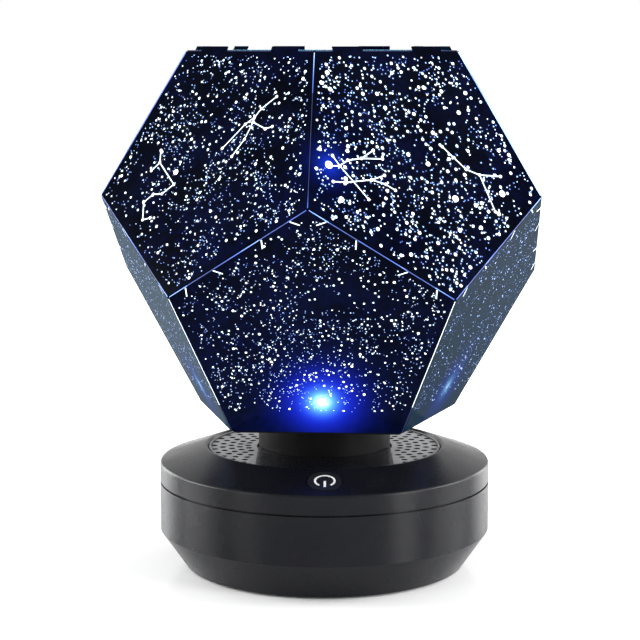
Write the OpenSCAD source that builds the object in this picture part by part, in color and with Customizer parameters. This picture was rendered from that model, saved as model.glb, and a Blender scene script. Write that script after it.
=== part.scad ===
// Star projector: a twelve-sided shade of printed film panels that turns on a round speaker base.
// Millimetres, +Z up. The origin is on the resting surface, under the middle of the base,
// and the power key faces -Y.

/* [Shade] */
// Edge length of each five-sided film panel
edge = 65; // [60:1:72]
// Thickness of the printed film
film_t = 0.5; // [0.3:0.1:0.8]
// Gap left along each seam, where light leaks out
seam_gap = 0.3; // [0.1:0.1:0.6]
// Width of a joining tab at its root
tab_w = 13; // [9:0.5:16]
// Length of a joining tab under the next panel
tab_len = 4.5; // [3:0.5:6]
// Distance between the middles of the two tabs on one edge
tab_pitch = 35.5; // [28:0.5:38]
// How far the top tabs stand above the top panel
tab_rise = 1.5; // [1:0.1:2.5]
// Lean of a hooked tab's sides
tab_flare = 32; // [10:1:35]
// Width of the slits beside each hooked tab
slit_w = 0.5; // [0.3:0.1:0.8]
// Angle at which the shade has stopped turning
shade_turn = -4; // [-36:1:36]

/* [Cup under the shade] */
// Height of the cup's sloping wall inside the lower panels
cup_h = 9; // [6:0.5:11]
// Thickness of the cup's floor and wall
cup_t = 1.4; // [1:0.1:2]
// How far the cup's foot stays inside the panels' lower edges
foot_in = 1.2; // [0.8:0.1:2]
// How far the cup's foot stands below the panels' lower edges
foot_drop = 0.4; // [0.3:0.1:1.2]
// Radius of the cup's hole, over the turntable's ring
cup_hole_r = 22.3; // [20:0.1:23]

/* [Turntable] */
// Outer radius of the neck
neck_r = 26.6; // [25:0.1:27.5]
// Wall of the neck, its top and the ring on it
neck_wall = 2; // [1.6:0.1:2.6]
// Height of the neck's top above the dish rim
neck_rise = 12.8; // [9:0.1:14]
// Height of the locating ring above the neck's top
ring_h = 4.2; // [3:0.1:6]
// Number of keys on the locating ring
key_n = 3; // [3:1:5]
// Width of each key
key_w = 4; // [3:0.5:6]
// How far each key stands out of the ring
key_out = 1.2; // [0.8:0.1:1.6]
// Number of stiffening webs under the neck's top
web_n = 6; // [4:1:8]
// Outer radius of the hub tube
hub_r = 10; // [9.5:0.1:11]
// Radius of the flange that carries the gear
flange_r = 13.5; // [13:0.1:14.5]

/* [Drive] */
// Tooth module of the gear pair
gear_m = 0.8; // [0.75:0.05:0.85]
// Teeth on the turntable gear
gear_teeth = 60; // [56:4:60]
// Teeth on the motor pinion
pinion_teeth = 15; // [15:1:17]
// Width of the gear's teeth
gear_w = 4; // [3:0.5:5]
// Radius of the motor can
motor_r = 14; // [12:0.5:15]
// Height of the motor can
motor_h = 17; // [14:0.5:18]
// Radius of the motor shaft
shaft_r = 2.5; // [2:0.1:2.8]

/* [Lamp] */
// Radius of the fixed lamp column in the turntable
column_r = 6; // [5.5:0.1:6.4]
// Radius of the column's wire bore
column_bore_r = 3.4; // [2.5:0.1:4]
// Wall of the two plain bushes
bush_wall = 1.4; // [1:0.1:1.8]
// Height of each bush
bush_h = 6; // [4:0.5:8]
// Radius of the lamp's round board
lamp_board_r = 7.5; // [6.5:0.1:8.5]
// Radius of the clear dome over the lamp
dome_r = 2.8; // [2:0.1:3.5]

/* [Base] */
// Width of the sloping top, from the shoulder to the rim
top_w = 18.5; // [17:0.5:22]
// Width of the dish, from the rim to the neck
dish_w = 21.4; // [21:0.1:24]
// Height of the rubber pad's face below the casing
foot_h = 1; // [0.6:0.1:2]
// How far the lower taper draws in
taper_in = 10; // [6:0.5:11]
// Height of the lower taper
taper_h = 14.5; // [12:0.5:18]
// Height of the lower casing
lower_h = 33.6; // [33:0.1:36]
// Height of the shadow gap between the casings
seam_h = 0.8; // [0.5:0.1:1.2]
// Height of the upper casing's upright wall
upper_wall_h = 7.8; // [7:0.1:10]
// Rise of the sloping top from the shoulder to the rim
top_rise = 5.8; // [4:0.1:7]
// Depth from the rim to the grille
dish_depth = 1; // [0.6:0.1:2]
// Wall thickness of the casings
casing_t = 2.2; // [1.8:0.1:2.6]
// Thickness of the bottom cover
cover_t = 2; // [1.8:0.1:3]
// Plain ring between the rubber pad and the screw heads
pad_gap = 0.8; // [0.5:0.1:3]

/* [Speaker grille] */
// Thickness of the grille plate
grille_t = 0.8; // [0.6:0.1:1.5]
// Radius of each sound hole
hole_r = 1.3; // [0.7:0.05:1.4]
// Number of rings of sound holes
hole_rings = 5; // [3:1:5]
// Number of sound holes in a full ring
ring_holes = 40; // [32:4:44]
// Plain width of the grille inside the rings of holes
grille_plain = 2.1; // [2:0.1:4]
// Height of the raised edge round the grille
bead_h = 0.4; // [0.2:0.1:0.5]

/* [Speakers] */
// Distance of each speaker from the middle of the base
speaker_x = 35.5; // [34:0.5:36]
// Radius of the speaker frame
speaker_r = 13.5; // [12:0.5:14]
// Depth of a speaker, with its magnet
speaker_h = 12; // [10:0.5:12]
// Radius of the magnet
magnet_r = 7.5; // [6:0.5:8]

/* [Power key] */
// Radius of the round key
power_r = 6.5; // [5:0.1:7]
// Travel of the key
power_travel = 0.5; // [0.3:0.1:0.8]

/* [Electronics] */
// Radius of the battery cell
cell_r = 9.1; // [8:0.1:9.3]
// Length of the battery cell
cell_len = 50; // [44:1:54]
// Thickness of the circuit boards
board_t = 1.6; // [1:0.1:2]
// Height of the charging socket's middle
socket_z = 24; // [22:0.5:27]

/* [Hidden] */
$fn = 64;
eps = 0.01;
clear = 0.3;        // free space between pieces that don't carry each other
fit = 0.05;         // radial clearance of a running or seated round fit

// The dodecahedron: every length is a fixed multiple of the edge
dihedral = 116.565;                       // angle between two faces, inside
fold = 180 - dihedral;                    // turn from one face to the next
mitre = tan(fold / 2);                    // inset per depth at a mitred seam
face_r = edge / (2 * sin(36));            // centre of a face to its corner
face_in = face_r * cos(36);               // centre of a face to its edge
solid_in = face_in * tan(dihedral / 2);   // centre of the solid to a face
inset = film_t * mitre + seam_gap / 2;    // how far a panel stops short of the true edge

// Heights, stacked from the resting surface
z_floor = foot_h;
z_cover = z_floor + cover_t;
z_crease = z_floor + taper_h;
z_seam = z_floor + lower_h;
z_upper = z_seam + seam_h;
z_shoulder = z_upper + upper_wall_h;
z_rim = z_shoulder + top_rise;
z_grille = z_rim - dish_depth;
z_dish = z_grille - grille_t;
z_under = z_dish - casing_t;
z_neck = z_rim + neck_rise;
z_shade = z_neck + foot_drop;
z_mid = z_shade + solid_in;

// Base plan
rim_r = neck_r + dish_w;
base_r = rim_r + top_w;
inner_r = base_r - casing_t;
dish_r = rim_r - dish_depth * 1.1;        // the dish wall leans out as it rises
cover_r = base_r - taper_in - 4;
ledge_in = 2;                             // how far the lower casing reaches over the cover
tongue_h = 2.1;                           // tongue of the lower casing inside the upper one
tongue_t = casing_t - 0.6;
pillar_r = 3.4;
pillar_at = cover_r - ledge_in - pillar_r - 1;
pillar_angles = [30, 150, 210, 330];
boss_h = 3;
screw_r = 1.25;
screw_head_r = 2.8;
pad_r = pillar_at - screw_head_r - clear - pad_gap;
pad_pocket = 0.8;

// Turntable and gear
neck_gap = 0.8;                           // free ring round the turning neck
hub_hole_r = flange_r + 0.7;
bush_r = column_r + fit + bush_wall;
bore_r = bush_r + fit;
seat_t = 2;                               // raised seat for the column on the cover
column_foot_r = 14;
column_foot_t = 2.5;
washer_t = 1;
hub_z = 28.1;                             // lower end of the turning hub
washer_z = hub_z - washer_t - 0.1;
gear_z = hub_z + 0.7;
gear_r = gear_m * gear_teeth / 2;
pinion_r = gear_m * pinion_teeth / 2;
pinion_y = gear_r + pinion_r;
backlash = 0.12;
clip_t = 0.7;
clip_groove = 0.6;

// Lamp
lamp_z = z_neck + ring_h + 0.9;
lamp_board_t = 1.2;
lamp_body_r = 4;
lamp_body_h = 1.5;

// Motor, mounted on two posts of the cover
motor_x = 8;
motor_ear = 17.5;
ear_r = 3.5;
ear_t = 1;
motor_top = hub_z - 3.1;
motor_boss_h = 1.5;

// Power key, on the sloping top
slope = atan2(top_rise, base_r - rim_r - 1.3);
power_at = (base_r + rim_r) / 2 - 0.6;
power_z = z_rim - (power_at - rim_r - 0.5) * tan(slope);
key_gap = 0.25;
key_flange_r = power_r + 1.9;
key_boss = 3.4;                           // depth of the flat boss under the key's hole
key_flange_t = 1.2;
key_stem_r = 1.75;
key_stem_h = 1.6;
switch_s = 6;
switch_h = 3.4;
switch_board = [27, 12, 1.2];
switch_post_x = 11.5;

// Speakers
sound_hole_r = 9.5;
frame_t = 1;
speaker_ear_y = speaker_r + 2.4;

// Battery, boards and socket
cell_y = -25.5;
holder_t = 1.4;
cell_z = z_cover + holder_t + cell_r + 0.2;
contact_t = 0.5;
board_z = z_cover + 5;
board_box = [-47, -17, 15];               // low x, high x, half width
charge_board = [16, 15, 1.2];
charge_y = inner_r - 0.8 - charge_board[1];
socket_w = 8.94;
socket_hgt = 3.26;
socket_len = 7.3;
socket_wall = 0.3;
shelf_z = socket_z - socket_hgt / 2 - charge_board[2];

// ---------------------------------------------------------------- shared shapes

// A tube standing on z, bored right through
module tube(r_in, r_out, z, h) {
    translate([0, 0, z]) difference() {
        cylinder(r = r_out, h = h);
        translate([0, 0, -1]) cylinder(r = r_in, h = h + 2);
    }
}

// A pan-head screw, its head's underside at z = 0 and its shank down -Z
module screw(shank_r, shank_l, head_r, head_h) {
    difference() {
        union() {
            translate([0, 0, -shank_l]) cylinder(r = shank_r, h = shank_l + eps);
            cylinder(r = head_r, h = head_h);
        }
        for (a = [0, 90]) rotate([0, 0, a])
            translate([-head_r * 0.6, -0.25, head_h - 0.5]) cube([head_r * 1.2, 0.5, 1]);
    }
}

// Children at an angle and a distance round the base's middle
module around(angles, r) {
    for (a = angles) rotate([0, 0, a]) translate([r, 0, 0]) children();
}

// ---------------------------------------------------------------- shade

// Children on a side face of the solid, seen from outside with Z out of the face
// and an edge at -Y. The lower faces have that edge down, the upper ones up.
module side_face(angle, upper) {
    translate([0, 0, z_mid]) rotate([0, 0, angle + shade_turn])
        rotate([upper ? fold : dihedral, 0, 0])
            translate([0, 0, solid_in]) rotate([0, 0, upper ? 180 : 0]) children();
}

// Children at the middle of edge i of a face, with the edge along X and outside at -Y
module at_edge(i) {
    rotate([0, 0, 72 * i]) translate([0, -face_in, 0]) children();
}

module pentagon(inward) {
    rotate([0, 0, 90]) circle(r = (face_in - inward) / cos(36), $fn = 5);
}

module plain_panel() {
    translate([0, 0, -film_t]) linear_extrude(film_t) pentagon(inset);
}

// A hooked tab, bent inwards to lie under the next panel
module hooked_tab() {
    flare = tab_len * tan(tab_flare);
    rotate([fold, 0, 0]) translate([0, 0, -2 * film_t - fit])
        linear_extrude(film_t)
            polygon([[-tab_w / 2, 0.2], [tab_w / 2, 0.2], [tab_w / 2 + flare, -tab_len],
                     [-tab_w / 2 - flare, -tab_len]]);
}

// The two slits that show a hooked tab's sides in the panel over it
module tab_slits() {
    for (side = [-1, 1])
        translate([side * tab_w / 2, 0, -film_t - 1]) rotate([0, 0, -side * tab_flare])
            translate([-slit_w / 2, 0, 0]) cube([slit_w, tab_len, film_t + 2]);
}

module tab_places() {
    for (side = [-1, 1]) translate([side * tab_pitch / 2, 0, 0]) children();
}

// An upper panel: straight tabs up through the top panel, hooked tabs down under the lower ones
module upper_panel(k) {
    color("midnightblue") side_face(36 + 72 * k, true) union() {
        plain_panel();
        at_edge(0) tab_places()
            translate([-tab_w / 2, -tab_rise / sin(fold), -film_t])
                cube([tab_w, tab_rise / sin(fold) + inset + 1, film_t]);
        for (i = [2, 3]) at_edge(i) tab_places() hooked_tab();
    }
}

module lower_panel(k) {
    color("midnightblue") side_face(72 * k, false) difference() {
        plain_panel();
        for (i = [2, 3]) at_edge(i) tab_places() tab_slits();
    }
}

// The top panel has a notch in its edge for each straight tab
module top_panel() {
    color("midnightblue") translate([0, 0, z_mid + solid_in]) rotate([0, 0, shade_turn + 180])
        difference() {
            plain_panel();
            for (i = [0 : 4]) at_edge(i) tab_places()
                translate([-tab_w / 2 - clear, -1, -film_t - 1])
                    cube([tab_w + 2 * clear, 1.2 + film_t / sin(fold), film_t + 2]);
        }
}

// The space within the lower side faces, a given depth inside them, between two heights
module within_lower_faces(depth, z_low, z_high) {
    intersection() {
        translate([-200, -200, z_low]) cube([400, 400, z_high - z_low]);
        side_face(0, false) translate([-200, -200, -400 - depth]) cube([400, 400, 400]);
        side_face(72, false) translate([-200, -200, -400 - depth]) cube([400, 400, 400]);
        side_face(144, false) translate([-200, -200, -400 - depth]) cube([400, 400, 400]);
        side_face(216, false) translate([-200, -200, -400 - depth]) cube([400, 400, 400]);
        side_face(288, false) translate([-200, -200, -400 - depth]) cube([400, 400, 400]);
    }
}

// The five-sided cup that holds the lower panels and drops over the turntable's ring
module shade_cup() {
    gap = film_t + 0.15;
    color("black") difference() {
        union() {
            translate([0, 0, z_neck]) rotate([0, 0, shade_turn])
                linear_extrude(foot_drop + 0.2) pentagon(foot_in);
            within_lower_faces(gap, z_shade, z_shade + cup_h);
        }
        within_lower_faces(gap + cup_t, z_shade + cup_t, z_shade + cup_h + 1);
        translate([0, 0, z_neck - 1]) cylinder(r = cup_hole_r, h = cup_t + 4);
        for (k = [0 : key_n - 1]) rotate([0, 0, shade_turn + 360 * k / key_n])
            translate([0, -key_w / 2 - clear, z_neck - 1])
                cube([cup_hole_r + key_out, key_w + 2 * clear, cup_t + 4]);
    }
}

// ---------------------------------------------------------------- turntable

module turntable() {
    ring_r = cup_hole_r - clear;
    color("black") difference() {
        union() {
            // neck: a drum with a closed top
            rotate_extrude() polygon([
                [neck_r - neck_wall, z_dish + 0.6], [neck_r, z_dish + 0.6], [neck_r, z_neck - 0.6],
                [neck_r - 0.6, z_neck], [hub_r - 1, z_neck], [hub_r - 1, z_neck - neck_wall],
                [neck_r - neck_wall, z_neck - neck_wall]]);
            // locating ring with its keys
            tube(ring_r - neck_wall, ring_r, z_neck - eps, ring_h + eps);
            for (k = [0 : key_n - 1]) rotate([0, 0, shade_turn + 360 * k / key_n])
                translate([ring_r - 1, -key_w / 2, z_neck - eps])
                    cube([key_out + 1, key_w, ring_h - 0.8]);
            // hub tube and the flange that the gear is screwed to
            translate([0, 0, hub_z]) cylinder(r = hub_r, h = z_neck - hub_z);
            translate([0, 0, gear_z + gear_w]) cylinder(r = flange_r, h = 2);
            for (k = [0 : web_n - 1]) rotate([0, 0, 360 * (k + 0.5) / web_n])
                translate([hub_r - 1, -0.75, z_dish + 3])
                    cube([neck_r - neck_wall - hub_r + 2, 1.5, z_neck - z_dish - 4]);
        }
        translate([0, 0, hub_z - 1]) cylinder(r = bore_r, h = z_neck - hub_z + 2);
        around([0, 120, 240], (hub_r + flange_r) / 2 + 0.1)
            translate([0, 0, gear_z + gear_w - 1]) cylinder(r = 0.8, h = 4);
    }
}

module hub_bushes() {
    color("ivory") for (z = [hub_z, z_neck - bush_h]) tube(column_r + fit, bush_r, z, bush_h);
}

// Involute spur gear outline: four points up each flank, straight across tip and root
function involute_angle(a) = tan(a) * 180 / PI - a;
function flank_angle(r, n, m) =
    let (pitch = m * n / 2, base = pitch * cos(20), at = acos(min(1, base / r)))
        90 / n - backlash / pitch * 90 / PI + involute_angle(20) - involute_angle(at);
function gear_outline(n, m) =
    let (pitch = m * n / 2, root = pitch - 1.25 * m, tip = pitch + m,
         start = max(root, pitch * cos(20)),
         radii = [for (s = [0 : 3]) start + (tip - start) * s / 3],
         half = concat([[root, flank_angle(start, n, m)]],
                       [for (r = radii) if (r > root + 0.01) [r, flank_angle(r, n, m)]]))
        [for (k = [0 : n - 1])
            each concat(
                [for (p = half) p[0] * [cos(360 * k / n - p[1]), sin(360 * k / n - p[1])]],
                [for (j = [len(half) - 1 : -1 : 0])
                    half[j][0] * [cos(360 * k / n + half[j][1]), sin(360 * k / n + half[j][1])]])];

module drive_gear() {
    color("white") difference() {
        union() {
            translate([0, 0, gear_z]) linear_extrude(gear_w)
                polygon(gear_outline(gear_teeth, gear_m));
        }
        translate([0, 0, gear_z - 1]) cylinder(r = hub_r + fit, h = gear_w + 2);
        around([0, 120, 240], (hub_r + flange_r) / 2 + 0.1)
            translate([0, 0, gear_z - 1]) cylinder(r = 1, h = gear_w + 2);
        // round lightening holes in the web
        around([30 : 60 : 330], (flange_r + gear_r) / 2)
            translate([0, 0, gear_z - 1]) cylinder(r = 3.2, h = gear_w + 2);
    }
}

module gear_screws() {
    color("silver") around([0, 120, 240], (hub_r + flange_r) / 2 + 0.1)
        translate([0, 0, gear_z]) rotate([180, 0, 0]) screw(0.75, gear_w + 1.6, 1.4, 0.6);
}

// ---------------------------------------------------------------- motor

module motor() {
    difference() {
        union() {
            color("silver") translate([motor_x, pinion_y, motor_top - motor_h])
                cylinder(r = motor_r, h = motor_h);
            color("silver") translate([motor_x, pinion_y, motor_top - ear_t])
                linear_extrude(ear_t) {
                    for (side = [-1, 1]) translate([side * motor_ear, 0]) circle(r = ear_r);
                    square([2 * motor_ear, 2 * ear_r], center = true);
                }
            translate([0, pinion_y, motor_top - eps]) cylinder(r = 4.5, h = motor_boss_h);
            // terminal block on the side of the can
            translate([motor_x - 6, pinion_y + motor_r - 3, motor_top - motor_h + 2])
                cube([12, 4.5, 6]);
        }
        translate([0, pinion_y, motor_top - 5]) cylinder(r = shaft_r + fit, h = 10);
        for (side = [-1, 1]) translate([motor_x + side * motor_ear, pinion_y, motor_top - 3])
            cylinder(r = 1.6, h = 6);
    }
}

module motor_screws() {
    color("silver") for (side = [-1, 1])
        translate([motor_x + side * motor_ear, pinion_y, motor_top])
            screw(screw_r, 8, 2.6, 1.5);
}

// The output shaft, with a flat on its end for the pinion
module motor_shaft() {
    top = gear_z + gear_w + 0.8;
    color("gold") difference() {
        translate([0, pinion_y, motor_top - 4.8]) cylinder(r = shaft_r, h = top - motor_top + 4.8);
        translate([shaft_r - 0.6, pinion_y - 5, gear_z - 0.5]) cube([5, 10, 20]);
    }
}

module motor_pinion() {
    color("white") translate([0, pinion_y, gear_z - 0.4]) difference() {
        rotate([0, 0, -90 - 180 / pinion_teeth]) linear_extrude(gear_w + 0.8)
            polygon(gear_outline(pinion_teeth, gear_m));
        difference() {
            translate([0, 0, -1]) cylinder(r = shaft_r + fit, h = gear_w + 4);
            translate([shaft_r - 0.6 + fit, -5, -2]) cube([5, 10, gear_w + 6]);
        }
    }
}

// ---------------------------------------------------------------- lamp

module lamp_column() {
    color("dimgray") difference() {
        union() {
            translate([0, 0, z_cover + seat_t]) cylinder(r = column_foot_r, h = column_foot_t);
            translate([0, 0, z_cover + seat_t]) cylinder(r = 8, h = washer_z - z_cover - seat_t);
            translate([0, 0, z_cover + seat_t]) cylinder(r = column_r, h = lamp_z - z_cover - seat_t);
        }
        translate([0, 0, z_cover]) cylinder(r = column_bore_r, h = lamp_z);
        // wire exit at the foot
        translate([-column_foot_r - 1, -2, z_cover + seat_t + column_foot_t])
            cube([column_foot_r + 1, 4, 5]);
        // groove for the clip
        tube(column_r - clip_groove, column_r + 1, z_neck + 0.8, clip_t + 0.1);
        around([0, 120, 240], 11.2) translate([0, 0, z_cover]) cylinder(r = 1.5, h = 8);
    }
}

module column_screws() {
    color("silver") around([0, 120, 240], 11.2)
        translate([0, 0, z_cover + seat_t + column_foot_t]) screw(screw_r, 5, 2.4, 1.6);
}

module thrust_washer() {
    color("ivory") tube(column_r + 0.1, 9.5, washer_z, washer_t);
}

module retaining_washer() {
    color("ivory") tube(column_r + 0.1, 9.5, z_neck + 0.1, 0.6);
}

// An open ring that springs into the column's groove
module retaining_clip() {
    color("silver") translate([0, 0, z_neck + 0.85]) difference() {
        cylinder(r = column_r + 1.6, h = clip_t);
        translate([0, 0, -1]) cylinder(r = column_r - clip_groove + fit, h = clip_t + 2);
        translate([0, -2.5, -1]) cube([column_r + 3, 5, clip_t + 2]);
    }
}

module lamp_board() {
    color("white") difference() {
        translate([0, 0, lamp_z]) cylinder(r = lamp_board_r, h = lamp_board_t);
        around([0 : 60 : 300], lamp_board_r) translate([0, 0, lamp_z - 1])
            cylinder(r = 1, h = lamp_board_t + 2);
    }
}

module lamp_body() {
    color("white") difference() {
        translate([0, 0, lamp_z + lamp_board_t]) cylinder(r = lamp_body_r, h = lamp_body_h);
        translate([0, 0, lamp_z + lamp_board_t + lamp_body_h - 0.5])
            cylinder(r = dome_r + 0.1, h = 2);
    }
}

// A clear dome with a straight skirt, set into the lamp's body
module lamp_dome() {
    color("lightblue") translate([0, 0, lamp_z + lamp_board_t + lamp_body_h - 0.5])
        rotate_extrude() intersection() {
            union() {
                square([dome_r, 0.6]);
                translate([0, 0.6]) circle(r = dome_r);
            }
            square([dome_r + 1, dome_r + 2]);
        }
}

// ---------------------------------------------------------------- casings

module lower_casing() {
    // the inner face of the taper, parallel to the outer one
    lean = atan2(taper_in, taper_h);
    off = casing_t / cos(lean);
    foot_edge = base_r - taper_in;
    ledge_z = z_cover + 1.8;
    ledge_r = foot_edge - off + (ledge_z - z_floor) * tan(lean);
    tongue_r = base_r - casing_t / 2 - 0.1;
    color("black") difference() {
        union() {
            rotate_extrude() polygon([
                [cover_r + clear, z_floor], [foot_edge, z_floor], [base_r, z_crease],
                [base_r, z_seam], [tongue_r, z_seam], [tongue_r, z_seam + seam_h + tongue_h],
                [tongue_r - tongue_t, z_seam + seam_h + tongue_h], [tongue_r - tongue_t, z_seam - 1],
                [inner_r, z_seam - 2], [inner_r, z_floor + (taper_in - casing_t + off) / tan(lean)],
                [ledge_r, ledge_z], [cover_r - ledge_in, ledge_z], [cover_r - ledge_in, z_cover],
                [cover_r + clear, z_cover]]);
            // shelf for the charging board
            translate([-charge_board[0] / 2, charge_y + 0.4, shelf_z - 3])
                cube([charge_board[0], inner_r - charge_y, 3]);
        }
        for (side = [-1, 1]) translate([side * 5.5, charge_y + 3, shelf_z - 4])
            cylinder(r = 0.85, h = 5);
        // window for the charging socket, with a shallow finger recess round it
        translate([0, base_r + 1, socket_z]) rotate([90, 0, 0])
            linear_extrude(casing_t + 4) socket_outline(clear);
        translate([0, base_r + 1, socket_z]) rotate([90, 0, 0])
            linear_extrude(1.8) socket_outline(1.5);
    }
}

// The sloping wall and dish of the upper casing, as one turned profile
module upper_profile() {
    round_r = 1.2;
    tongue_r = base_r - casing_t / 2 - 0.1;
    flat = 0.5;
    shoulder = [for (a = [0 : 15 : 90 - slope])
        [base_r - round_r + round_r * cos(a), z_shoulder - round_r + round_r * sin(a)]];
    under_r = rim_r + flat;
    polygon(concat(
        [[tongue_r + 0.15, z_upper], [base_r, z_upper]],
        shoulder,
        [[rim_r + flat, z_rim], [rim_r - 0.3, z_rim], [dish_r, z_grille], [dish_r, z_dish],
         [hub_hole_r, z_dish], [hub_hole_r, z_under], [dish_r + 0.8, z_under],
         [under_r + 0.4, z_rim - casing_t / cos(slope) - 0.1],
         [inner_r - 0.8, z_shoulder - casing_t / cos(slope) + 0.9],
         [inner_r, z_shoulder - casing_t],
         [inner_r, z_upper + tongue_h], [tongue_r + 0.15, z_upper + tongue_h]]));
}

// Children in the power key's own frame: Z out of the sloping top, at its surface
module at_power_key() {
    translate([0, -power_at, power_z]) rotate([slope, 0, 0]) children();
}

module upper_casing() {
    color("black") difference() {
        union() {
            rotate_extrude() upper_profile();
            // bridge over the front of the dish, from the rim to the neck
            intersection() {
                translate([-neck_r, -rim_r, z_under + 0.2])
                    cube([2 * neck_r, rim_r, z_rim - z_under - 0.2]);
                cylinder(r = rim_r - 0.2, h = 100);
            }
            // pillars for the long screws from below
            around(pillar_angles, pillar_at)
                translate([0, 0, z_cover + boss_h])
                    cylinder(r = pillar_r, h = z_dish - 0.1 - z_cover - boss_h);
            at_power_key() {
                translate([0, 0, -key_boss]) cylinder(r = key_flange_r + 1, h = key_boss - 1);
                for (side = [-1, 1])
                    translate([side * switch_post_x, 0, -key_boss - key_flange_t - key_stem_h - switch_h - 0.7])
                        cylinder(r = 2.2, h = key_flange_t + key_stem_h + switch_h + 2);
            }
        }
        // room for the turning neck
        translate([0, 0, z_dish]) cylinder(r = neck_r + neck_gap, h = 100);
        translate([0, 0, z_under - 1]) cylinder(r = hub_hole_r, h = 100);
        for (side = [-1, 1]) translate([side * speaker_x, 0, z_under - 1]) {
            cylinder(r = sound_hole_r, h = casing_t + 2);
            for (s = [-1, 1]) translate([0, s * speaker_ear_y, 0]) cylinder(r = 1.05, h = 2.6);
        }
        around(pillar_angles, pillar_at) translate([0, 0, z_cover + boss_h - 1])
            cylinder(r = screw_r + fit, h = 14);
        at_power_key() {
            translate([0, 0, -12]) cylinder(r = power_r + key_gap, h = 20);
            translate([0, 0, -key_boss - 20]) cylinder(r = key_flange_r + key_gap, h = 20);
            for (side = [-1, 1])
                translate([side * switch_post_x, 0, -key_boss - key_flange_t - key_stem_h - switch_h - 2])
                    cylinder(r = 0.85, h = 6);
        }
    }
}

module bottom_cover() {
    color("black") difference() {
        union() {
            translate([0, 0, z_floor]) cylinder(r = cover_r, h = cover_t);
            translate([0, 0, z_floor]) cylinder(r = column_foot_r + 1, h = cover_t + seat_t);
            around(pillar_angles, pillar_at) translate([0, 0, z_floor])
                cylinder(r = pillar_r + 0.6, h = cover_t + boss_h);
            // posts for the motor and the main board
            for (side = [-1, 1]) translate([motor_x + side * motor_ear, pinion_y, z_floor])
                cylinder(r = ear_r, h = motor_top - ear_t - z_floor);
            board_corners() translate([0, 0, z_floor]) cylinder(r = 2.5, h = board_z - z_floor);
        }
        translate([0, 0, z_floor - 1]) cylinder(r = pad_r + 0.1, h = 1 + pad_pocket);
        around(pillar_angles, pillar_at) translate([0, 0, z_floor - 1]) {
            cylinder(r = screw_head_r + clear, h = 1 + cover_t + 0.4);
            cylinder(r = 1.6, h = 20);
        }
        around([0, 120, 240], 11.2) translate([0, 0, z_cover - 0.6])
            cylinder(r = screw_r + fit, h = 10);
        for (side = [-1, 1]) translate([motor_x + side * motor_ear, pinion_y, motor_top - ear_t - 9])
            cylinder(r = screw_r + fit, h = 20);
        board_corners() translate([0, 0, board_z - 5]) cylinder(r = 0.85, h = 6);
    }
}

// One round pad with two shallow ring grooves in its face
module rubber_pad() {
    color("dimgray") rotate_extrude() polygon([
        [0, 0], [pad_r - 16, 0], [pad_r - 15.5, 0.4], [pad_r - 14.5, 0.4], [pad_r - 14, 0],
        [pad_r - 6, 0], [pad_r - 5.5, 0.4], [pad_r - 4.5, 0.4], [pad_r - 4, 0],
        [pad_r - 0.4, 0], [pad_r, 0.4], [pad_r, z_floor + pad_pocket], [0, z_floor + pad_pocket]]);
}

module casing_screws() {
    color("silver") around(pillar_angles, pillar_at)
        translate([0, 0, z_cover + 0.4]) rotate([180, 0, 0]) screw(screw_r, 12, screw_head_r, 1.8);
}

// ---------------------------------------------------------------- grille and speakers

// Flat grille plate with a raised outer edge, open at the front for the bridge. The sound
// holes lie in rings, and each ring is turned by half a step from the next.
module speaker_grille() {
    inner = neck_r + neck_gap;
    outer = dish_r - 0.15;
    bead_w = 0.8;
    beside_bridge = neck_r + 0.2;
    outer_ring = outer - bead_w - hole_r - 0.05;
    ring_pitch = (outer_ring - hole_r - inner - grille_plain) / (hole_rings - 1);
    color("dimgray") translate([0, 0, z_dish]) difference() {
        union() {
            cylinder(r = outer, h = grille_t);
            tube(outer - bead_w, outer, 0, grille_t + bead_h);
        }
        translate([0, 0, -1]) cylinder(r = inner, h = grille_t + 2);
        translate([-beside_bridge, -outer - 1, -1])
            cube([2 * beside_bridge, outer + 1, grille_t + bead_h + 2]);
        for (j = [0 : hole_rings - 1], i = [0 : ring_holes - 1]) {
            r = outer_ring - j * ring_pitch;
            a = 360 * (i + (j % 2) / 2) / ring_holes;
            plain = beside_bridge + hole_r + 0.6;
            if (sin(a) > 0 || abs(r * cos(a)) > plain)
                translate([r * cos(a), r * sin(a), -1]) cylinder(r = hole_r, h = grille_t + 2, $fn = 24);
        }
    }
}

// Both speakers hang under the dish floor, each with two ears
module at_speakers() {
    for (side = [-1, 1]) translate([side * speaker_x, 0, z_under]) children();
}

module speaker_frames() {
    color("dimgray") at_speakers() difference() {
        union() {
            translate([0, 0, -frame_t]) cylinder(r = speaker_r, h = frame_t);
            for (s = [-1, 1]) translate([0, s * speaker_ear_y, -frame_t]) cylinder(r = 2.6, h = frame_t);
            translate([0, 0, -6]) cylinder(r1 = magnet_r + 1.5, r2 = speaker_r - 1, h = 5.2);
            translate([0, 0, -speaker_h + 4.5]) cylinder(r = magnet_r, h = speaker_h - 9);
        }
        translate([0, 0, -5.2]) cylinder(r1 = magnet_r + 0.6, r2 = speaker_r - 2, h = 5.3);
        translate([0, 0, -6.5]) cylinder(r = 3.4, h = 2);
        for (s = [-1, 1]) translate([0, s * speaker_ear_y, -3]) cylinder(r = 1.15, h = 4);
        // windows in the basket
        for (a = [45 : 90 : 315]) rotate([0, 0, a]) translate([speaker_r - 4, -3, -5])
            cube([6, 6, 3]);
    }
}

// Paper cone with its dust cap and rolled edge
module speaker_cones() {
    rim = speaker_r - 2.4;
    color("black") at_speakers() rotate_extrude() polygon([
        [0, -3.2], [1.6, -3.3], [2.8, -3.9], [rim - 1.6, -0.7], [rim - 1.2, -0.3], [rim - 0.5, -0.2],
        [rim, -0.3], [rim - 0.2, -0.8], [rim - 1.3, -1.1], [3, -4.5], [3, -6], [2.4, -6],
        [2.4, -4.2], [1.4, -3.8], [0, -3.7]]);
}

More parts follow.
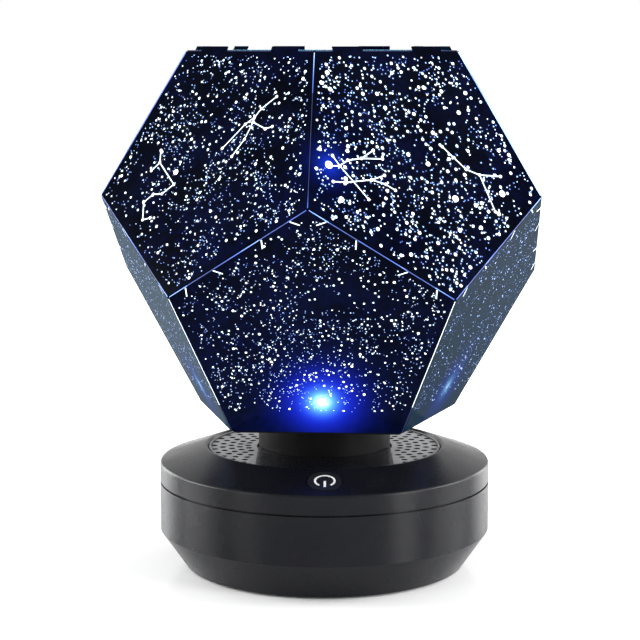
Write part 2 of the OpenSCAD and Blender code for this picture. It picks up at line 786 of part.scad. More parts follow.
module speaker_magnets() {
    color("gray") at_speakers() {
        translate([0, 0, -speaker_h]) cylinder(r = magnet_r, h = 4.3);
    }
}

module speaker_screws() {
    color("silver") at_speakers() for (s = [-1, 1]) translate([0, s * speaker_ear_y, -frame_t])
        rotate([180, 0, 0]) screw(1, 2.4, 2, 1);
}

// ---------------------------------------------------------------- power key

module power_key() {
    color("black") at_power_key() {
        translate([0, 0, -key_boss - 0.15]) cylinder(r = power_r, h = key_boss + 0.3);
        translate([0, 0, -key_boss - 0.15 - key_flange_t]) cylinder(r = key_flange_r, h = key_flange_t);
        translate([0, 0, -key_boss - 0.15 - key_flange_t - key_stem_h])
            cylinder(r = key_stem_r, h = key_stem_h + eps);
    }
}

// Height of the switch's top in the key's frame
switch_top = -key_boss - 0.15 - key_flange_t - key_stem_h - power_travel - 0.15;

module switch_plunger() {
    color("black") at_power_key() translate([0, 0, switch_top - 0.8])
        cylinder(r = 1.6, h = power_travel + 0.9);
}

module key_switch() {
    color("silver") at_power_key() difference() {
        translate([-switch_s / 2, -switch_s / 2, switch_top - switch_h]) cube([switch_s, switch_s, switch_h]);
        translate([0, 0, switch_top - 0.8 - power_travel - 0.2]) cylinder(r = 1.75, h = 5);
    }
}

module key_board() {
    color("green") at_power_key() difference() {
        translate([-switch_board[0] / 2, -switch_board[1] / 2, switch_top - switch_h - switch_board[2]])
            cube(switch_board);
        for (side = [-1, 1]) translate([side * switch_post_x, 0, -30]) cylinder(r = 1.1, h = 30);
    }
}

module key_board_screws() {
    color("silver") at_power_key() for (side = [-1, 1])
        translate([side * switch_post_x, 0, switch_top - switch_h - switch_board[2]])
            rotate([180, 0, 0]) screw(0.8, 5, 1.7, 1);
}

// ---------------------------------------------------------------- boards and battery

module board_corners() {
    for (x = [board_box[0] + 4, board_box[1] - 4], y = [-1, 1])
        translate([x, y * (board_box[2] - 3), 0]) children();
}

module main_board() {
    color("green") difference() {
        translate([board_box[0], -board_box[2], board_z])
            cube([board_box[1] - board_box[0], 2 * board_box[2], board_t]);
        board_corners() translate([0, 0, board_z - 1]) cylinder(r = 1.1, h = board_t + 2);
    }
}

// Children on the main board, at a distance from its outer edge
module on_board(x, y) {
    translate([board_box[0] + x, y, board_z + board_t]) children();
}

module board_chips() {
    color("black") {
        on_board(9, -5) cube([7, 7, 1]);
        on_board(18, -11) cube([5, 4, 1.4]);
        on_board(2, 3.4) cube([10, 5, 2]);
        on_board(18, -5) cube([4, 4, 2.2]);
    }
}

module board_capacitors() {
    color("navy") for (p = [[22, 4], [16, 8]]) on_board(p[0], p[1]) cylinder(r = 2.6, h = 7);
}

module wire_sockets() {
    color("ivory") for (p = [[1, -6], [25, -5], [9, -13.5]]) on_board(p[0], p[1]) difference() {
        cube([4, 5, 5]);
        translate([0.8, 0.8, 1]) cube([2.4, 3.4, 5]);
    }
}

module main_board_screws() {
    color("silver") board_corners() translate([0, 0, board_z + board_t]) screw(0.8, 5, 1.7, 1);
}

module battery_holder() {
    end = cell_len / 2 + contact_t + clear;
    color("black") difference() {
        translate([-end - holder_t, cell_y - cell_r - 1, z_cover])
            cube([2 * (end + holder_t), 2 * cell_r + 2, holder_t + cell_r]);
        translate([-end, cell_y, cell_z]) rotate([0, 90, 0])
            cylinder(r = cell_r + 0.15, h = 2 * end);
        translate([-end, cell_y - cell_r - 0.15, cell_z]) cube([2 * end, 2 * cell_r + 0.3, cell_r]);
        for (x = [-20, 0, 20]) translate([x - 4, cell_y - cell_r - 3, z_cover + 5])
            cube([8, 2 * cell_r + 6, cell_r]);
    }
}

module battery_cell() {
    color("royalblue") translate([-cell_len / 2, cell_y, cell_z]) rotate([0, 90, 0]) {
        cylinder(r = cell_r, h = cell_len - 1.2);
        cylinder(r = 3, h = cell_len);
    }
}

// Sprung contact plates, one at each end of the cell
module battery_contacts() {
    color("silver") for (side = [-1, 1])
        translate([side * (cell_len / 2 + clear / 2) + (side > 0 ? 0 : -contact_t), cell_y - 4, cell_z - 4.5])
            cube([contact_t, 8, 9.5]);
}

module charge_board() {
    color("green") difference() {
        translate([-charge_board[0] / 2, charge_y, shelf_z]) cube(charge_board);
        for (side = [-1, 1]) translate([side * 5.5, charge_y + 3, shelf_z - 1])
            cylinder(r = 1.1, h = 4);
    }
}

module charge_board_screws() {
    color("silver") for (side = [-1, 1])
        translate([side * 5.5, charge_y + 3, shelf_z + charge_board[2]]) screw(0.8, 4, 1.7, 1);
}

// Outline of the charging socket, grown by some clearance
module socket_outline(grow) {
    h = socket_hgt + 2 * grow;
    w = socket_w + 2 * grow - h;
    square([w, h], center = true);
    for (side = [-1, 1]) translate([side * w / 2, 0]) circle(r = h / 2);
}

module charge_socket() {
    mouth = base_r - 1.2;
    color("silver") translate([0, mouth, socket_z]) rotate([90, 0, 0]) {
        difference() {
            linear_extrude(socket_len) socket_outline(-fit);
            translate([0, 0, -1]) linear_extrude(socket_len - 0.5) socket_outline(-socket_wall - fit);
        }
        translate([-3.2, -0.35, 0.9]) cube([6.4, 0.7, socket_len - 1.2]);
    }
}

// ---------------------------------------------------------------- nodes

lower_casing();
upper_casing();
bottom_cover();
rubber_pad();
casing_screws();
speaker_grille();
speaker_frames();
speaker_cones();
speaker_magnets();
speaker_screws();
lamp_column();
column_screws();
thrust_washer();
retaining_washer();
retaining_clip();
lamp_board();
lamp_body();
lamp_dome();
motor();
motor_screws();
motor_shaft();
motor_pinion();
turntable();
hub_bushes();
drive_gear();
gear_screws();
power_key();
switch_plunger();
key_switch();
key_board();
key_board_screws();
main_board();
board_chips();
board_capacitors();
wire_sockets();
main_board_screws();
battery_holder();
battery_cell();
battery_contacts();
charge_board();
charge_socket();
charge_board_screws();
shade_cup();
top_panel();
upper_panel(0);  // upper_panel_1
upper_panel(1);  // upper_panel_2
upper_panel(2);  // upper_panel_3
upper_panel(3);  // upper_panel_4
upper_panel(4);  // upper_panel_5
lower_panel(0);  // lower_panel_1
lower_panel(1);  // lower_panel_2
lower_panel(2);  // lower_panel_3
lower_panel(3);  // lower_panel_4
lower_panel(4);  // lower_panel_5
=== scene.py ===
import math
import bpy
from mathutils import Matrix, Vector


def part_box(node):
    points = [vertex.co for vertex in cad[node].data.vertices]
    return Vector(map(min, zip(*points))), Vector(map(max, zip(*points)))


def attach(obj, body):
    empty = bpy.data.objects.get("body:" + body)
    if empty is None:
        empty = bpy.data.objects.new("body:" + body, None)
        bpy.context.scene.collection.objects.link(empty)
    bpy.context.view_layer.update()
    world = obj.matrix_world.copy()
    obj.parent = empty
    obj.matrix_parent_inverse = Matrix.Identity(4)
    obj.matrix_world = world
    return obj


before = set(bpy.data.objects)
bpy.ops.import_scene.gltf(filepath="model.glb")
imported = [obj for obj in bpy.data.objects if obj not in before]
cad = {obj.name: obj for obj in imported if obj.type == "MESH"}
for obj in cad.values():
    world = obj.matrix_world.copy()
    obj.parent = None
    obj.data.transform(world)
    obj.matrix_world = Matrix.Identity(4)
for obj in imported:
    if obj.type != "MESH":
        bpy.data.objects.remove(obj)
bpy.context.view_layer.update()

# ---------------------------------------------------------------- table and light
# A white table top under a plain white studio. The camera looks slightly down at the
# projector. A soft lamp stands on each side of it, two behind it, and two small ones in front.

def pale_when_seen(nodes, links, unseen):
    """A strength that is 1 for camera, glossy and transmission rays, and else `unseen`."""
    path = nodes.new("ShaderNodeLightPath")
    both = nodes.new("ShaderNodeMath")
    both.operation = "MAXIMUM"
    links.new(path.outputs["Is Camera Ray"], both.inputs[0])
    links.new(path.outputs["Is Glossy Ray"], both.inputs[1])
    three = nodes.new("ShaderNodeMath")
    three.operation = "MAXIMUM"
    links.new(both.outputs[0], three.inputs[0])
    links.new(path.outputs["Is Transmission Ray"], three.inputs[1])
    level = nodes.new("ShaderNodeMapRange")
    level.inputs["To Min"].default_value = unseen
    level.inputs["To Max"].default_value = 1.0
    links.new(three.outputs[0], level.inputs["Value"])
    return level.outputs["Result"]

studio = bpy.data.worlds.new("studio")
bpy.context.scene.world = studio
studio.use_nodes = True
studio_nodes = studio.node_tree.nodes
studio_links = studio.node_tree.links
studio_sky = studio_nodes["Background"]
studio_sky.inputs["Color"].default_value = (1, 1, 1, 1)
sky_light = 0.55
sky_strength = pale_when_seen(studio_nodes, studio_links, sky_light)
studio_links.new(sky_strength, studio_sky.inputs["Strength"])

table_half = 3.0
table_corners = [(x * table_half, y * table_half, 0) for x, y in ((-1, -1), (1, -1), (1, 1), (-1, 1))]
table_mesh = bpy.data.meshes.new("table_top")
table_mesh.from_pydata(table_corners, [], [(0, 1, 2, 3)])
table_top = bpy.data.objects.new("table_top", table_mesh)
bpy.context.scene.collection.objects.link(table_top)
table_white = bpy.data.materials.new("table_white")
table_white.use_nodes = True
table_nodes = table_white.node_tree.nodes
table_links = table_white.node_tree.links
table_shader = table_nodes["Principled BSDF"]
table_shader.inputs["Base Color"].default_value = (0.86, 0.86, 0.86, 1)
table_shader.inputs["Roughness"].default_value = 0.16
table_shader.inputs["Specular IOR Level"].default_value = 0.12
table_shader.inputs["Emission Color"].default_value = (1, 1, 1, 1)
# Far from the projector the lamps fade, so the seen table is kept white there. Near to it
# nothing is added, and its shadow stays.
shadow_reach = 0.12
all_white_from = 0.45
table_place = table_nodes.new("ShaderNodeTexCoord")
from_middle = table_nodes.new("ShaderNodeVectorMath")
from_middle.operation = "LENGTH"
table_links.new(table_place.outputs["Object"], from_middle.inputs[0])
far_off = table_nodes.new("ShaderNodeMapRange")
far_off.interpolation_type = "SMOOTHSTEP"
far_off.inputs["From Min"].default_value = shadow_reach
far_off.inputs["From Max"].default_value = all_white_from
table_links.new(from_middle.outputs["Value"], far_off.inputs["Value"])
shine = table_nodes.new("ShaderNodeMath")
shine.operation = "MULTIPLY"
table_links.new(far_off.outputs["Result"], shine.inputs[0])
table_links.new(pale_when_seen(table_nodes, table_links, 0.0), shine.inputs[1])
table_links.new(shine.outputs[0], table_shader.inputs["Emission Strength"])
table_mesh.materials.append(table_white)

def soft_lamp(name, place, aim_height, width, height, watts):
    """A flat lamp that is turned to a point on the projector's axis."""
    lamp = bpy.data.lights.new(name, "AREA")
    lamp.shape = "RECTANGLE"
    lamp.size = width
    lamp.size_y = height
    lamp.energy = watts
    lamp_object = bpy.data.objects.new(name, lamp)
    lamp_object.location = place
    to_projector = Vector((0, 0, aim_height)) - Vector(place)
    lamp_object.rotation_euler = to_projector.to_track_quat("-Z", "Y").to_euler()
    bpy.context.scene.collection.objects.link(lamp_object)

soft_lamp("lamp_left", (-1.0, 0.1, 0.36), aim_height=0.05, width=0.6, height=0.5, watts=15.5)
soft_lamp("lamp_right", (1.0, 0.05, 0.36), aim_height=0.05, width=0.6, height=0.5, watts=15.5)
soft_lamp("lamp_back_left", (-0.75, 0.75, 0.3), aim_height=0.05, width=0.5, height=0.5, watts=7.0)
soft_lamp("lamp_back_right", (0.75, 0.75, 0.3), aim_height=0.05, width=0.5, height=0.5, watts=5.0)
soft_lamp("lamp_front_left", (-0.75, -0.55, 0.25), aim_height=0.03, width=0.3, height=0.4, watts=3.0)
soft_lamp("lamp_front_right", (0.78, -0.55, 0.25), aim_height=0.03, width=0.3, height=0.4, watts=9.5)

camera_place = (-0.0018, -0.76, 0.2095)
camera_down_degrees = 8.24
camera = bpy.data.cameras.new("camera")
camera.sensor_width = 36
camera.lens = 107.4
camera_object = bpy.data.objects.new("camera", camera)
camera_object.location = camera_place
camera_object.rotation_euler = (math.radians(90 - camera_down_degrees), 0, 0)
bpy.context.scene.collection.objects.link(camera_object)
bpy.context.scene.camera = camera_object
bpy.context.scene.view_settings.view_transform = "Standard"

# ---------------------------------------------------------------- cover and pad
# The moulded cover closes the base from below, and a round rubber pad is glued into its
# pocket. Both are dull black: fine spark-eroded grain on the cover, soft dust on the pad.

class Finish:
    """A node material that is built up step by step. Its first colour and roughness are what a
    plain viewer shows, and the steps below vary them over the surface."""

    def __init__(self, name, colour, roughness, metallic=0.0, specular=0.5):
        self.material = bpy.data.materials.new(name)
        self.material.use_nodes = True
        self.nodes = self.material.node_tree.nodes
        self.links = self.material.node_tree.links
        self.shader = self.nodes["Principled BSDF"]
        self.shader.inputs["Base Color"].default_value = (*colour, 1)
        self.shader.inputs["Roughness"].default_value = roughness
        self.shader.inputs["Metallic"].default_value = metallic
        self.shader.inputs["Specular IOR Level"].default_value = specular
        self.place = self.nodes.new("ShaderNodeTexCoord").outputs["Object"]
        self.normal = None

    def noise(self, scale, detail=3.0, stretch=(1, 1, 1)):
        """A cloudy pattern from 0 to 1. The stretch draws it out, as brushing does."""
        where = self.place
        if stretch != (1, 1, 1):
            mapping = self.nodes.new("ShaderNodeMapping")
            mapping.inputs["Scale"].default_value = stretch
            self.links.new(self.place, mapping.inputs["Vector"])
            where = mapping.outputs["Vector"]
        noise = self.nodes.new("ShaderNodeTexNoise")
        noise.inputs["Scale"].default_value = scale
        noise.inputs["Detail"].default_value = detail
        self.links.new(where, noise.inputs["Vector"])
        return noise.outputs["Fac"]

    def mottle(self, colour_a, colour_b, scale, stretch=(1, 1, 1), low=0.35, high=0.65):
        """Lets the colour wander between two near ones."""
        ramp = self.nodes.new("ShaderNodeValToRGB")
        ramp.color_ramp.elements[0].position = low
        ramp.color_ramp.elements[0].color = (*colour_a, 1)
        ramp.color_ramp.elements[1].position = high
        ramp.color_ramp.elements[1].color = (*colour_b, 1)
        self.links.new(self.noise(scale, 4.0, stretch), ramp.inputs["Fac"])
        self.links.new(ramp.outputs["Color"], self.shader.inputs["Base Color"])
        return self

    def uneven_gloss(self, low, high, scale, stretch=(1, 1, 1)):
        """Lets the roughness wander, as where hands wipe over a surface."""
        spread = self.nodes.new("ShaderNodeMapRange")
        spread.inputs["From Min"].default_value = 0.3
        spread.inputs["From Max"].default_value = 0.7
        spread.inputs["To Min"].default_value = low
        spread.inputs["To Max"].default_value = high
        self.links.new(self.noise(scale, 3.0, stretch), spread.inputs["Value"])
        self.links.new(spread.outputs["Result"], self.shader.inputs["Roughness"])
        return self

    def grain(self, scale, height, stretch=(1, 1, 1), strength=0.4):
        """Adds fine bumps, on top of those that are there already."""
        bump = self.nodes.new("ShaderNodeBump")
        bump.inputs["Strength"].default_value = strength
        bump.inputs["Distance"].default_value = height
        self.links.new(self.noise(scale, 2.0, stretch), bump.inputs["Height"])
        if self.normal:
            self.links.new(self.normal, bump.inputs["Normal"])
        self.normal = bump.outputs["Normal"]
        self.links.new(self.normal, self.shader.inputs["Normal"])
        return self

    def on(self, *names):
        """Gives the finish to these nodes of the frame."""
        for name in names:
            for material_slot in cad[name].material_slots:
                material_slot.material = self.material

cover_black = Finish("cover_black", (0.02, 0.02, 0.022), 0.55, specular=0.35)
cover_black.mottle((0.017, 0.017, 0.019), (0.026, 0.026, 0.028), 90)
cover_black.uneven_gloss(0.48, 0.62, 140).grain(3200, 0.00006).on("bottom_cover")
pad_rubber = Finish("pad_rubber", (0.03, 0.03, 0.03), 0.85, specular=0.25)
pad_rubber.mottle((0.022, 0.022, 0.022), (0.05, 0.049, 0.047), 60)
pad_rubber.grain(1500, 0.0001).grain(5200, 0.00004).on("rubber_pad")

# ---------------------------------------------------------------- casings
# Two moulded shells meet at a shadow gap. They are satin black plastic with a fine grain,
# a little smoother where hands wipe over them.

casing_black = Finish("casing_black", (0.004, 0.0042, 0.0062), 0.27, specular=0.12)
casing_black.mottle((0.0032, 0.0034, 0.0051), (0.0048, 0.005, 0.0072), 45)
casing_black.uneven_gloss(0.22, 0.31, 70)
casing_black.grain(3800, 0.00005, strength=0.3).grain(120, 0.00008, strength=0.12)
casing_black.on("lower_casing", "upper_casing")

# ---------------------------------------------------------------- screws
# Small steel pan heads with a cross slot, turned and zinc plated. They hold the casings
# together, and the speakers, the column, the motor and the boards in their places.

screw_steel = Finish("screw_steel", (0.55, 0.55, 0.56), 0.34, metallic=1.0)
screw_steel.mottle((0.48, 0.48, 0.5), (0.62, 0.61, 0.58), 500)
screw_steel.uneven_gloss(0.26, 0.44, 900).grain(2600, 0.00002)
screw_steel.on("casing_screws", "speaker_screws", "column_screws", "motor_screws", "gear_screws",
               "key_board_screws", "main_board_screws", "charge_board_screws")

# ---------------------------------------------------------------- speakers
# Two small drivers hang under the dish: a black frame, a pressed paper cone, a steel-cased
# magnet. The grey painted grille over them is a punched plate.

grille_grey = Finish("grille_grey", (0.3, 0.3, 0.31), 0.4, specular=0.4)
grille_grey.mottle((0.24, 0.24, 0.25), (0.3, 0.3, 0.31), 260)
grille_grey.uneven_gloss(0.34, 0.5, 400).grain(2400, 0.00005, strength=0.35)
# Only the upper side is grey: the walls of the holes are coloured near black, as painted shade inside the
# holes.
surface = grille_grey.nodes.new("ShaderNodeNewGeometry")
facing = grille_grey.nodes.new("ShaderNodeSeparateXYZ")
grille_grey.links.new(surface.outputs["True Normal"], facing.inputs[0])
grille_colour = grille_grey.shader.inputs["Base Color"]
grey_top_painted_hole_shade = grille_grey.nodes.new("ShaderNodeMix")
grey_top_painted_hole_shade.data_type = "RGBA"
grey_top_painted_hole_shade.inputs["A"].default_value = (0.006, 0.006, 0.006, 1)
grille_grey.links.new(facing.outputs["Z"], grey_top_painted_hole_shade.inputs["Factor"])
grille_grey.links.new(grille_colour.links[0].from_socket, grey_top_painted_hole_shade.inputs["B"])
grille_grey.links.new(grey_top_painted_hole_shade.outputs["Result"], grille_colour)
grille_grey.on("speaker_grille")
frame_black = Finish("speaker_frame_black", (0.03, 0.03, 0.03), 0.6)
frame_black.mottle((0.024, 0.024, 0.024), (0.04, 0.04, 0.04), 200).grain(2600, 0.00005)
frame_black.on("speaker_frames")
cone_paper = Finish("cone_paper", (0.05, 0.05, 0.05), 0.9, specular=0.2)
cone_paper.mottle((0.03, 0.03, 0.03), (0.075, 0.073, 0.07), 900)
cone_paper.grain(1900, 0.00012).on("speaker_cones")
magnet_steel = Finish("magnet_steel", (0.42, 0.42, 0.44), 0.36, metallic=1.0)
magnet_steel.mottle((0.34, 0.34, 0.36), (0.5, 0.5, 0.5), 260).grain(1600, 0.00003)
magnet_steel.on("speaker_magnets")

# ---------------------------------------------------------------- lamp column
# A moulded tube on a wide foot carries the lamp up through the turning neck. Slippery
# washers and a sprung steel clip hold the neck down on it.

column_grey = Finish("column_grey", (0.1, 0.1, 0.105), 0.5)
column_grey.mottle((0.085, 0.085, 0.09), (0.12, 0.12, 0.126), 150).grain(2800, 0.00004)
column_grey.on("lamp_column")
slippery_ivory = Finish("slippery_ivory", (0.78, 0.75, 0.66), 0.4)
slippery_ivory.mottle((0.74, 0.71, 0.61), (0.82, 0.79, 0.71), 300).grain(2000, 0.00003)
slippery_ivory.shader.inputs["Subsurface Weight"].default_value = 0.08
slippery_ivory.on("thrust_washer", "retaining_washer", "hub_bushes")
clip_steel = Finish("clip_steel", (0.5, 0.5, 0.52), 0.28, metallic=1.0)
clip_steel.mottle((0.4, 0.4, 0.43), (0.58, 0.58, 0.58), 700).grain(3000, 0.00002)
clip_steel.on("retaining_clip")

# ---------------------------------------------------------------- lamp
# A white round board with a lamp body on it, under a clear dome. The lamp is lit, and its
# blue-white light fills the shade.

lamp_board_white = Finish("lamp_board_white", (0.82, 0.84, 0.85), 0.35)
lamp_board_white.mottle((0.78, 0.8, 0.81), (0.86, 0.87, 0.88), 500).grain(3000, 0.00002)
lamp_board_white.on("lamp_board")
lamp_body_white = Finish("lamp_body_white", (0.85, 0.86, 0.86), 0.5)
lamp_body_white.mottle((0.8, 0.81, 0.82), (0.9, 0.9, 0.9), 700).grain(2600, 0.00003)
lamp_body_white.on("lamp_body")
lamp_clear = Finish("lamp_clear", (0.8, 0.92, 1.0), 0.08)
lamp_clear.mottle((0.7, 0.87, 1.0), (0.9, 0.97, 1.0), 900).grain(400, 0.00005)
lamp_clear.shader.inputs["Emission Color"].default_value = (0.45, 0.75, 1.0, 1)
lamp_clear.shader.inputs["Emission Strength"].default_value = 6.0
lamp_clear.on("lamp_dome")

# ---------------------------------------------------------------- motor and gears
# A small gearmotor on two posts turns the neck through a pair of white moulded gears. The
# can is drawn steel, brushed round, and the shaft is ground.

motor_steel = Finish("motor_steel", (0.52, 0.52, 0.53), 0.32, metallic=1.0)
motor_steel.mottle((0.44, 0.44, 0.45), (0.6, 0.6, 0.6), 120, stretch=(1, 1, 18))
motor_steel.uneven_gloss(0.24, 0.42, 160, stretch=(1, 1, 30)).grain(900, 0.00003, stretch=(1, 1, 14))
motor_steel.on("motor")
shaft_steel = Finish("shaft_steel", (0.7, 0.7, 0.71), 0.16, metallic=1.0)
shaft_steel.mottle((0.64, 0.64, 0.66), (0.76, 0.76, 0.76), 500, stretch=(1, 1, 12))
shaft_steel.uneven_gloss(0.12, 0.24, 800, stretch=(1, 1, 12)).on("motor_shaft")
gear_white = Finish("gear_white", (0.82, 0.82, 0.79), 0.42)
gear_white.mottle((0.78, 0.78, 0.74), (0.86, 0.86, 0.84), 240).grain(1800, 0.00003)
gear_white.shader.inputs["Subsurface Weight"].default_value = 0.06
gear_white.on("drive_gear", "motor_pinion")

# ---------------------------------------------------------------- boards and battery
# Green boards with black chips, sleeved capacitors and ivory wire sockets. A shrink-wrapped
# cell lies in a black holder between nickel contacts, and a steel socket is at the back.

board_green = Finish("board_green", (0.02, 0.16, 0.06), 0.36)
board_green.mottle((0.014, 0.12, 0.045), (0.03, 0.24, 0.09), 420, low=0.47, high=0.53)
board_green.grain(420, 0.00004).on("main_board", "key_board", "charge_board")
chip_black = Finish("chip_black", (0.03, 0.03, 0.032), 0.6)
chip_black.mottle((0.024, 0.024, 0.026), (0.04, 0.04, 0.043), 800).grain(4200, 0.00004)
chip_black.on("board_chips")
capacitor_sleeve = Finish("capacitor_sleeve", (0.04, 0.05, 0.09), 0.3)
capacitor_sleeve.mottle((0.03, 0.04, 0.075), (0.06, 0.07, 0.12), 300).grain(1200, 0.00003)
capacitor_sleeve.on("board_capacitors")
socket_ivory = Finish("socket_ivory", (0.8, 0.77, 0.67), 0.45)
socket_ivory.mottle((0.75, 0.72, 0.62), (0.84, 0.81, 0.72), 600).grain(3000, 0.00003)
socket_ivory.on("wire_sockets")
holder_black = Finish("holder_black", (0.025, 0.025, 0.026), 0.5)
holder_black.mottle((0.02, 0.02, 0.02), (0.034, 0.034, 0.035), 200).grain(3000, 0.00005)
holder_black.on("battery_holder")
cell_wrap = Finish("cell_wrap", (0.05, 0.13, 0.46), 0.26)
cell_wrap.mottle((0.04, 0.1, 0.38), (0.07, 0.17, 0.55), 120).grain(500, 0.00004)
cell_wrap.on("battery_cell")
contact_nickel = Finish("contact_nickel", (0.62, 0.61, 0.58), 0.28, metallic=1.0)
contact_nickel.mottle((0.55, 0.54, 0.5), (0.68, 0.67, 0.65), 600).grain(2200, 0.00002)
contact_nickel.on("battery_contacts", "charge_socket", "key_switch")

# ---------------------------------------------------------------- power key
# A round black key set flush in the sloping top, on a small switch. The plain power sign,
# a broken ring with a bar in the gap, is printed on it in off-white.

key_black = Finish("key_black", (0.008, 0.008, 0.009), 0.3, specular=0.16)
key_black.mottle((0.007, 0.007, 0.008), (0.0095, 0.0095, 0.011), 160)
key_black.uneven_gloss(0.27, 0.37, 200).grain(3800, 0.00004, strength=0.3)
key_black.on("power_key", "switch_plunger")

# The key's frame, as in the part's source: Z stands out of the casing's sloping top. The top
# slopes down from the dish's rim, but for a level run, and the key lies inward of its middle.
base_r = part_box("upper_casing")[1][0]
rim_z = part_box("upper_casing")[1][2]
rim_r = 0.048
rim_flat = 0.0005
top_rise = 0.0058
level_run = 0.0013
key_inward = 0.0006
top_slope = math.atan2(top_rise, base_r - rim_r - level_run)
key_out_r = (base_r + rim_r) / 2 - key_inward
key_z = rim_z - (key_out_r - rim_r - rim_flat) * math.tan(top_slope)
key_place = Matrix.Translation((0, -key_out_r, key_z)) @ Matrix.Rotation(top_slope, 4, "X")

def flat_ring(verts, faces, centre, r_in, r_out, start, end, steps, z):
    """Adds part of a flat ring, with angles in degrees."""
    first = len(verts)
    for i in range(steps + 1):
        a = math.radians(start + (end - start) * i / steps)
        for r in (r_in, r_out):
            verts.append(Vector((centre[0] + r * math.cos(a), centre[1] + r * math.sin(a), z)))
    for i in range(steps):
        j = first + 2 * i
        faces.append((j, j + 1, j + 3, j + 2))

def ribbon(verts, faces, a, b, width, z):
    """Adds a flat strip from a to b."""
    a = Vector(a)
    b = Vector(b)
    side = (b - a).orthogonal().normalized() * width / 2
    first = len(verts)
    for p in (a - side, b - side, b + side, a + side):
        verts.append(Vector((p.x, p.y, z)))
    faces.append((first, first + 1, first + 2, first + 3))

def printed_piece(name, verts, faces, body, finish, tones=None):
    """Makes a flat print a piece of its own. Tones give each corner its brightness."""
    mesh = bpy.data.meshes.new(name)
    mesh.from_pydata(verts, [], faces)
    if tones:
        mesh.attributes.new("tone", "FLOAT", "POINT").data.foreach_set("value", tones)
    mesh.materials.append(finish.material)
    piece = bpy.data.objects.new(name, mesh)
    bpy.context.scene.collection.objects.link(piece)
    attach(piece, body)

sign_ink = Finish("sign_ink", (0.62, 0.6, 0.57), 0.45)
sign_ink.mottle((0.56, 0.54, 0.51), (0.68, 0.66, 0.63), 900).grain(3000, 0.00001)
sign_lift = 0.00018
sign_r_in = 0.0033
sign_r_out = 0.0041
bar_foot = -0.0043
bar_top = -0.0002
bar_width = 0.0009
verts = []
faces = []
flat_ring(verts, faces, (0, 0), sign_r_in, sign_r_out, start=-55, end=235, steps=48, z=sign_lift)
ribbon(verts, faces, (0, bar_foot), (0, bar_top), bar_width, sign_lift)
printed_piece("power_sign", [key_place @ v for v in verts], faces, "key", sign_ink)

# ---------------------------------------------------------------- turntable and cup
# The black neck turns on the column and carries a keyed ring. The cup drops over the ring,
# and the film panels stand in it.

neck_black = Finish("neck_black", (0.003, 0.003, 0.0035), 0.5, specular=0.05)
neck_black.mottle((0.002, 0.002, 0.0024), (0.0042, 0.0042, 0.0047), 80)
neck_black.uneven_gloss(0.44, 0.58, 120).grain(3400, 0.00005, strength=0.3)
neck_black.on("turntable", "shade_cup")

# ---------------------------------------------------------------- film panels
# Eleven five-sided panels cut from printed film and joined by tabs. The print is a deep
# night blue, nearly black, glossy, and the lamp glows through it low on each lower panel.

# The panels are the faces of a regular dodecahedron, and all its distances follow from its edge.
edge = 0.065
side_step = 72
half_side = math.radians(side_step / 2)
dihedral = math.radians(116.565)
fold = math.pi - dihedral
face_in = edge / (2 * math.tan(half_side))
face_r = edge / (2 * math.sin(half_side))
solid_in = face_in * math.tan(dihedral / 2)
shade_turn = math.radians(-4)
shade_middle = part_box("top_panel")[1][2] - solid_in

def side_face(k, upper):
    """Places a panel's own plane: Z out of the panel, and -Y towards its foot edge, which is the
    low one on a lower panel and the high one on an upper panel."""
    turn = math.radians(side_step * k + (side_step / 2 if upper else 0)) + shade_turn
    place = (Matrix.Translation((0, 0, shade_middle)) @ Matrix.Rotation(turn, 4, "Z")
             @ Matrix.Rotation(fold if upper else dihedral, 4, "X") @ Matrix.Translation((0, 0, solid_in)))
    return place @ Matrix.Rotation(math.pi, 4, "Z") if upper else place

film = Finish("printed_film", (0.0005, 0.0008, 0.005), 0.6, specular=0.0)
film.mottle((0.0003, 0.0004, 0.0014), (0.0009, 0.0013, 0.0035), 34)
film.grain(70, 0.0003, strength=0.1)
for socket, value in (("Coat Weight", 0.08),
                      ("Coat IOR", 1.26),
                      ("Coat Roughness", 0.12),
                      ("Sheen Weight", 0.12),
                      ("Sheen Roughness", 0.3),
                      ("Sheen Tint", (0.1, 0.6, 1.0, 1))):
    film.shader.inputs[socket].default_value = value
film.links.new(film.normal, film.shader.inputs["Coat Normal"])

def film_math(operation, a, b=None, c=None):
    """One step of arithmetic on sockets and numbers."""
    step = film.nodes.new("ShaderNodeMath")
    step.operation = operation
    for socket, value in zip(step.inputs, (a, b, c)):
        if value is None:
            continue
        if isinstance(value, (int, float)):
            socket.default_value = value
        else:
            film.links.new(value, socket)
    return step.outputs[0]

def film_length(a, b):
    """The length of a vector from its two parts."""
    return film_math("SQRT", film_math("ADD", film_math("MULTIPLY", a, a), film_math("MULTIPLY", b, b)))

# The glow's middle lies at one height on all lower panels, a little beside each panel's own
# middle line. It is full on the front panel and faint on the others.
glow_z = 0.0756
glow_beside = math.radians(2.8)
faint_glow = 0.18
height_to_slant = 1 / math.sin(dihedral)
film_parts = film.nodes.new("ShaderNodeSeparateXYZ")
film.links.new(film.place, film_parts.inputs[0])
film_x, film_y, film_z = film_parts.outputs
bearing = film_math("ARCTAN2", film_x, film_math("MULTIPLY", film_y, -1.0))
from_front = film_math("SUBTRACT", bearing, shade_turn)
from_middle_line = film_math("WRAP", from_front, half_side, -half_side)
from_glow = film_math("SUBTRACT", from_middle_line, glow_beside)
glow_across = film_math("MULTIPLY", film_length(film_x, film_y), film_math("SINE", from_glow))
glow_up = film_math("MULTIPLY", film_math("SUBTRACT", film_z, glow_z), height_to_slant)
glow_away = film_length(glow_across, glow_up)
on_front_panel = film_math("LESS_THAN", film_math("ABSOLUTE", from_front), half_side)
glow_share = film_math("ADD", film_math("MULTIPLY", on_front_panel, 1 - faint_glow), faint_glow)

